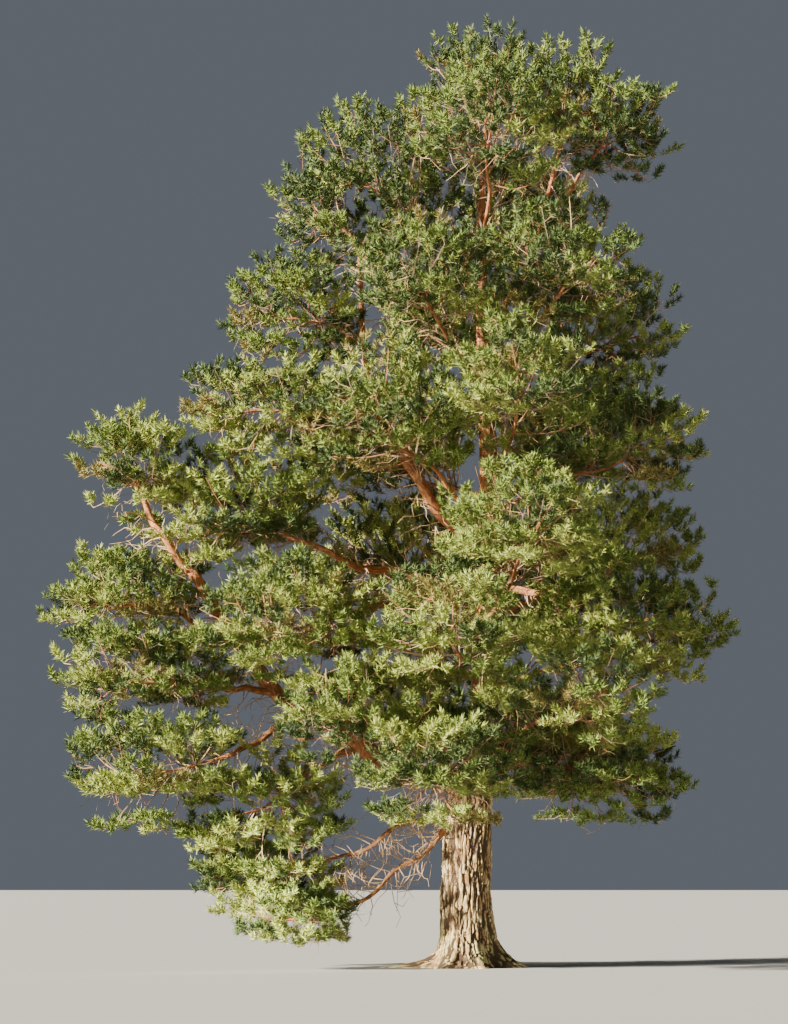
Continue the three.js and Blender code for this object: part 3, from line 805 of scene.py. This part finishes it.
def make_bough_twigs(boughs, crown, materials):
    """Dead twigs all along the boughs, each with a smaller one on it."""
    thicket = Thicket()
    for number, bough in enumerate(boughs.values()):
        count = int(bough.line.run[-1] * crown.bough_twigs)
        seeds = FIRST_BOUGH_TWIG_SEED + 61.0 * number + np.arange(count)
        shares = 0.12 + 0.86 * (np.arange(count) + 0.5) / count
        middles = bough.line.at_length(shares)
        ahead = unit(bough.line.at_length(shares + 0.01) - middles)
        out = unit(np.cross(ahead, wander(seeds, 0)))
        roots = middles + out * 0.9 * bough.radius(shares)[:, None]
        radius, stride = BOUGH_TWIG
        paths = crooked_paths(roots, unit(out + 0.6 * ahead), seeds, stride)
        tan = np.full(count, len(TWIG_TINTS) - 1)
        add_bare_twigs(thicket, paths, radius, tan)
        radius, stride = BOUGH_TWIGLET
        side = unit(wander(seeds, 40) + 0.5 * out)
        add_bare_twigs(thicket, crooked_paths(paths[:, 2], side, seeds + 0.5, stride), radius, tan)
    make_twigs("bough_twigs", thicket, materials, boughs)


def grow_tufts(pad, paths, seeds, thicket, crown):
    """Short shoots from each branchlet's outer half, alternately on its two sides, and one at its tip."""
    heading_out = unit(paths[:, -1] - paths[:, -2])
    side = unit(np.cross(heading_out, UP + 0.01))
    for turn in range(crown.tufts):
        share = 1 - TUFTED * turn / crown.tufts
        back = share * (paths.shape[1] - 1)
        low = min(int(back), paths.shape[1] - 2)
        foot = paths[:, low] * (1 - back + low) + paths[:, low + 1] * (back - low)
        lean = 1 if turn % 2 else -1
        if turn == 0:
            lean = 0
        direction = 0.6 * heading_out + lean * 0.6 * side + 0.8 * UP
        direction = unit(direction + 0.6 * wander(seeds, 20 + 3 * turn))
        reach = (0.03 + 0.07 * chance(seeds, 50 + turn)) * (0.3 if turn == 0 else 1.0)
        end = foot + direction * reach[:, None]
        sizes = 0.85 + 0.4 * chance(seeds, 80 + turn)
        tints = deal_needle_tints(seeds // SEEDS_PER_TWIG, 4, pad)
        thicket.tufts.append((end, direction, tints, sizes))


def tuft_template(crown, seed):
    """One tuft's needles about +Z, as triangles that splay less towards the shoot's tip."""
    turn = np.arange(crown.needles)
    share = (turn + 0.5) / crown.needles
    angle = turn * GOLDEN_ANGLE + 2 * chance(seed, turn)
    splay = np.radians(84 - 62 * share + 20 * (chance(seed + 1, turn) - 0.5))
    flat = np.stack((np.cos(angle), np.sin(angle), 0 * angle), axis=1)
    across = np.stack((-np.sin(angle), np.cos(angle), 0 * angle), axis=1)
    direction = flat * np.sin(splay)[:, None] + UP * np.cos(splay)[:, None]
    foot = UP * (0.12 * share - 0.05)[:, None]
    reach = crown.needle_length * (0.85 + 0.3 * chance(seed + 2, turn))
    roll = math.pi * chance(seed + 3, turn)
    width = across * np.cos(roll)[:, None] + np.cross(direction, across) * np.sin(roll)[:, None]
    half = width * crown.needle_width / 2
    return np.stack((foot - half, foot + half, foot + direction * reach[:, None]), axis=1)


def frames_along(directions, turned):
    """Three square axes for each direction, turned about it."""
    side = unit(np.cross(directions, (0.31, 0.83, 0.46)))
    over = np.cross(directions, side)
    cosine, sine = np.cos(turned)[:, None], np.sin(turned)[:, None]
    return np.stack((side * cosine + over * sine, over * cosine - side * sine, directions), axis=1)


def make_needles(name, thicket, crown, materials, nodes):
    """One piece with all the needles of a thicket."""
    feet, directions, tints, sizes = (np.concatenate(parts) for parts in zip(*thicket.tufts))
    number = np.arange(len(feet))
    frames = frames_along(directions, 2 * math.pi * chance(7, number)) * sizes[:, None, None]
    templates = np.stack([tuft_template(crown, 10 * seed) for seed in range(5)])
    local = templates[(chance(11, number) * 5).astype(int)]
    points = np.einsum("nkvi,nij->nkvj", local, frames) + feet[:, None, None]
    faces = np.arange(points.size // 3).reshape(-1, 3)
    slots = np.repeat(tints, crown.needles)
    piece = joined_mesh(name, points.reshape(-1, 3), faces, materials, slots)
    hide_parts(*nodes)


def make_twigs(name, thicket, materials, nodes):
    """One piece with all the twigs of a thicket."""
    points, faces = np.concatenate(thicket.twig_points), np.concatenate(thicket.twig_faces)
    piece = joined_mesh(name, points, faces, materials, np.concatenate(thicket.twig_tints))
    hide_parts(*nodes)


def make_crown(crown):
    boughs = lay_out_boughs()
    pads = lay_out_pads(boughs)
    limbs = limb_spots(boughs)
    greens = [plain_material(f"needles_{tint}", getattr(crown, tint), 0.6, 0.25) for tint in NEEDLE_TINTS]
    browns = [plain_material(f"twigs_{tint}", getattr(crown, tint), 0.9) for tint in TWIG_TINTS]
    make_bough_twigs(boughs, crown, browns)
    for part in dict.fromkeys(pad.part for pad in pads):
        thicket = Thicket()
        own = [pad for pad in pads if pad.part == part]
        for pad in own:
            grow_pad(pad, pads, limbs, thicket, crown)
        nodes = [pad.node for pad in own]
        make_needles(f"{part}_crown_needles", thicket, crown, greens, nodes)
        make_twigs(f"{part}_crown_twigs", thicket, browns, nodes)


class Channel:
    """A shader socket that takes part in sums, so that shader maths reads as plain Python."""

    def __init__(self, look, socket):
        self.look, self.socket = look, socket

    def __add__(self, other):
        return self.look.maths("ADD", self, other)

    def __sub__(self, other):
        return self.look.maths("SUBTRACT", self, other)

    def __rsub__(self, other):
        return self.look.maths("SUBTRACT", other, self)

    def __mul__(self, other):
        return self.look.maths("MULTIPLY", self, other)

    __radd__ = __add__
    __rmul__ = __mul__


class Look:
    """A material whose nodes are added one at a time."""

    def __init__(self, name):
        self.material = bpy.data.materials.new(name)
        self.material.use_nodes = True
        self.tree = self.material.node_tree
        self.shader = next(node for node in self.tree.nodes if node.type == "BSDF_PRINCIPLED")

    def feed(self, socket, value):
        if isinstance(value, Channel):
            self.tree.links.new(value.socket, socket)
        else:
            socket.default_value = value

    def node(self, kind, inputs, output=0, **settings):
        made = self.tree.nodes.new(kind)
        for key, value in settings.items():
            setattr(made, key, value)
        for key, value in inputs.items():
            self.feed(made.inputs[key], value)
        return Channel(self, made.outputs[output])

    def maths(self, operation, a, b):
        return self.node("ShaderNodeMath", {0: a, 1: b}, operation=operation, use_clamp=False)

    def attribute(self, name):
        return self.node("ShaderNodeAttribute", {}, output="Fac", attribute_name=name)

    def smooth(self, value, low, high):
        return self.node("ShaderNodeMapRange", {"Value": value, "From Min": low, "From Max": high},
                         interpolation_type="SMOOTHSTEP")

    def mix(self, factor, a, b):
        """Colour a where the factor is 0 and colour b where it is 1."""
        ends = [colour if isinstance(colour, Channel) else (*colour, 1) for colour in (a, b)]
        return self.node("ShaderNodeMix", {0: factor, 6: ends[0], 7: ends[1]}, output=2, data_type="RGBA")

    def noise(self, scale, detail, stretch=(1, 1, 1)):
        place = self.node("ShaderNodeTexCoord", {}, output="Object")
        stretched = self.node("ShaderNodeMapping", {"Vector": place, "Scale": stretch})
        return self.node("ShaderNodeTexNoise", {"Vector": stretched, "Scale": scale, "Detail": detail})


def plain_material(name, colour, roughness, shine=0.5):
    look = Look(name)
    look.feed(look.shader.inputs["Base Color"], (*colour, 1))
    look.feed(look.shader.inputs["Roughness"], roughness)
    look.feed(look.shader.inputs["Specular IOR Level"], shine)
    return look.material


def bark_material(bark):
    """Grey-buff plates with dark furrows low down, darkened partly as painted shade, thin orange flakes
    higher up, lichen at the foot.
    """
    if "bark" in bpy.data.materials:
        return bpy.data.materials["bark"]
    look = Look("bark")
    age, furrow, flake = look.attribute("age"), look.attribute("furrow"), look.attribute("flake")
    place = look.node("ShaderNodeTexCoord", {}, output="Object")
    height = look.node("ShaderNodeSeparateXYZ", {"Vector": place}, output="Z")
    broad = look.noise(1.7, 4)
    mottle = look.noise(9, 6, (1, 1, 0.4))
    grain = look.noise(55, 5, (1, 1, 0.25))
    tone = flake * 0.7 + mottle * 0.6
    old = look.mix(look.smooth(tone, 0.45, 0.95), bark.old_dark, bark.old_light)
    old = look.mix(look.smooth(broad, 0.5, 0.8) * 0.45, old, bark.old_wash)
    young = look.mix(look.smooth(tone, 0.45, 0.9), bark.young_dark, bark.young_light)
    young = look.mix(look.smooth(grain, 0.55, 0.75) * 0.35, young, bark.young_grain)
    colour = look.mix(look.smooth(age + (mottle - 0.5) * 0.5, 0.22, 0.62), young, old)
    lichen = look.smooth(mottle + broad, 0.90, 1.15) * (1 - look.smooth(height, 0.25, 1.4))
    colour = look.mix(lichen * 0.75, colour, bark.lichen)
    # Furrows and cracks turn towards the furrow colour: the bark's own dark fissures, and painted shade in
    # them as well.
    depth = look.smooth(furrow, 0.12, 0.72) * (0.36 + 0.58 * age)
    colour = look.mix(depth, colour, bark.furrow)
    look.feed(look.shader.inputs["Base Color"], colour)
    look.feed(look.shader.inputs["Roughness"], 0.78 + 0.2 * grain)
    bump = look.node("ShaderNodeBump", {"Height": grain + mottle, "Strength": 0.6, "Distance": 0.015})
    look.feed(look.shader.inputs["Normal"], bump)
    return look.material


def make_camera():
    data = bpy.data.cameras.new("camera")
    data.lens = CAMERA_LENS
    data.sensor_width = 36
    data.clip_end = 3000
    camera = bpy.data.objects.new("camera", data)
    camera.location = CAMERA_PLACE
    camera.rotation_euler = Euler((math.pi / 2 + CAMERA_PITCH, 0, 0))
    bpy.context.scene.collection.objects.link(camera)
    bpy.context.scene.camera = camera


def make_floor(stage):
    bpy.ops.mesh.primitive_plane_add(size=2 * stage.floor_size)
    floor = bpy.context.object
    floor.name = "floor"
    floor.data.materials.append(plain_material("floor", stage.floor_colour, 0.95))


def add_lamp(name, kind, facing, place=(0, 0, 0), **settings):
    data = bpy.data.lights.new(name, kind)
    for key, value in settings.items():
        setattr(data, key, value)
    lamp = bpy.data.objects.new(name, data)
    lamp.location = place
    lamp.rotation_euler = Vector(facing).to_track_quat("-Z", "Y").to_euler()
    bpy.context.scene.collection.objects.link(lamp)


def light_stage(stage):
    world = bpy.data.worlds.new("studio")
    bpy.context.scene.world = world
    world.use_nodes = True
    sky = next(node for node in world.node_tree.nodes if node.type == "BACKGROUND")
    sky.inputs["Color"].default_value = (*stage.sky_colour, 1)
    sky.inputs["Strength"].default_value = stage.sky_strength
    warm = stage.lamp_colour
    add_lamp("key", "SUN", KEY_FACING, energy=stage.sun_strength, color=warm, angle=KEY_WIDTH)
    add_lamp("low_fill", "SUN", LOW_FILL_FACING, energy=stage.sun_strength * LOW_FILL, color=warm,
             angle=LOW_FILL_WIDTH)
    aim = Vector(TRUNK_LAMP_AIM) - Vector(TRUNK_LAMP_PLACE)
    add_lamp("trunk_lamp", "SPOT", aim, TRUNK_LAMP_PLACE, energy=stage.trunk_lamp, color=warm,
             spot_size=TRUNK_LAMP_CONE, spot_blend=0.5, shadow_soft_size=0.5)


class PINE_OT_dress_trunk(bpy.types.Operator):
    """Puts the furrowed bark on the trunk"""

    bl_idname = "pine.dress_trunk"
    bl_label = "Dress the trunk"

    def execute(self, context):
        make_trunk(context.scene.pine_bark)
        return {"FINISHED"}


class PINE_OT_dress_boughs(bpy.types.Operator):
    """Puts bark on the boughs and on the stems that carry the pads"""

    bl_idname = "pine.dress_boughs"
    bl_label = "Dress the boughs"

    def execute(self, context):
        make_boughs(context.scene.pine_bark)
        make_stems(context.scene.pine_bark)
        return {"FINISHED"}


class PINE_OT_grow_crown(bpy.types.Operator):
    """Grows the twigs and needles of every pad"""

    bl_idname = "pine.grow_crown"
    bl_label = "Grow the crown"

    def execute(self, context):
        make_crown(context.scene.pine_crown)
        return {"FINISHED"}


class PINE_OT_set_stage(bpy.types.Operator):
    """Makes the camera, the floor and the lights"""

    bl_idname = "pine.set_stage"
    bl_label = "Set the stage"

    def execute(self, context):
        make_camera()
        make_floor(context.scene.pine_stage)
        light_stage(context.scene.pine_stage)
        return {"FINISHED"}


class PINE_PT_panel(bpy.types.Panel):
    bl_label = "Scots pine"
    bl_space_type = "VIEW_3D"
    bl_region_type = "UI"
    bl_category = "Pine"

    def draw(self, context):
        for group in (context.scene.pine_bark, context.scene.pine_crown, context.scene.pine_stage):
            box = self.layout.box()
            for name in group.__annotations__:
                box.prop(group, name)
        for operator in OPERATORS:
            self.layout.operator(operator.bl_idname)


SETTINGS = {
    "pine_bark": PineBarkSettings,
    "pine_crown": PineCrownSettings,
    "pine_stage": PineStageSettings,
}
OPERATORS = (
    PINE_OT_dress_trunk,
    PINE_OT_dress_boughs,
    PINE_OT_grow_crown,
    PINE_OT_set_stage,
)
CLASSES = (*SETTINGS.values(), *OPERATORS, PINE_PT_panel)


def register():
    for one in CLASSES:
        bpy.utils.register_class(one)
    for name, group in SETTINGS.items():
        setattr(bpy.types.Scene, name, bpy.props.PointerProperty(type=group))


def unregister():
    for name in SETTINGS:
        delattr(bpy.types.Scene, name)
    for one in reversed(CLASSES):
        bpy.utils.unregister_class(one)


def main():
    register()
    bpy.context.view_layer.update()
    bpy.ops.pine.dress_trunk()
    bpy.ops.pine.dress_boughs()
    bpy.ops.pine.grow_crown()
    bpy.ops.pine.set_stage()


if __name__ == "__main__":
    main()
